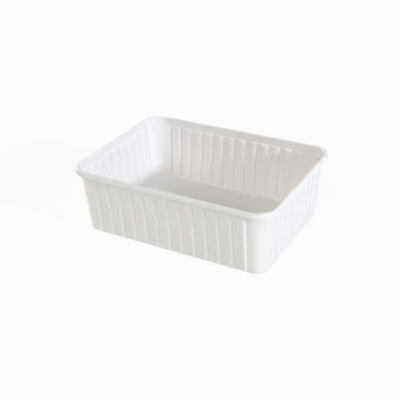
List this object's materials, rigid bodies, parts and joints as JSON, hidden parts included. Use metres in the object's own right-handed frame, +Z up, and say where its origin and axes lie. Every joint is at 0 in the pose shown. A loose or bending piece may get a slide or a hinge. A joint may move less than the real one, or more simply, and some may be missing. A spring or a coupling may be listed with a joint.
{
  "type": "thermoformed tray",
  "caption": "Deep rectangular tray formed from one plastic sheet, with a turned-down rim, fluted side walls and a stepped floor panel; open at the top.",
  "frame": {"origin": "middle of the underside of the foot panel, at the plane that the tray stands on", "axes": "+Z up, +X along the tray's length, +Y along its width"},
  "size_m": [0.187, 0.137, 0.061],
  "materials": {
    "sheet": "semi-gloss white"
  },
  "bodies": {
    "root": {"tray": "sheet"}
  },
  "joints": []
}
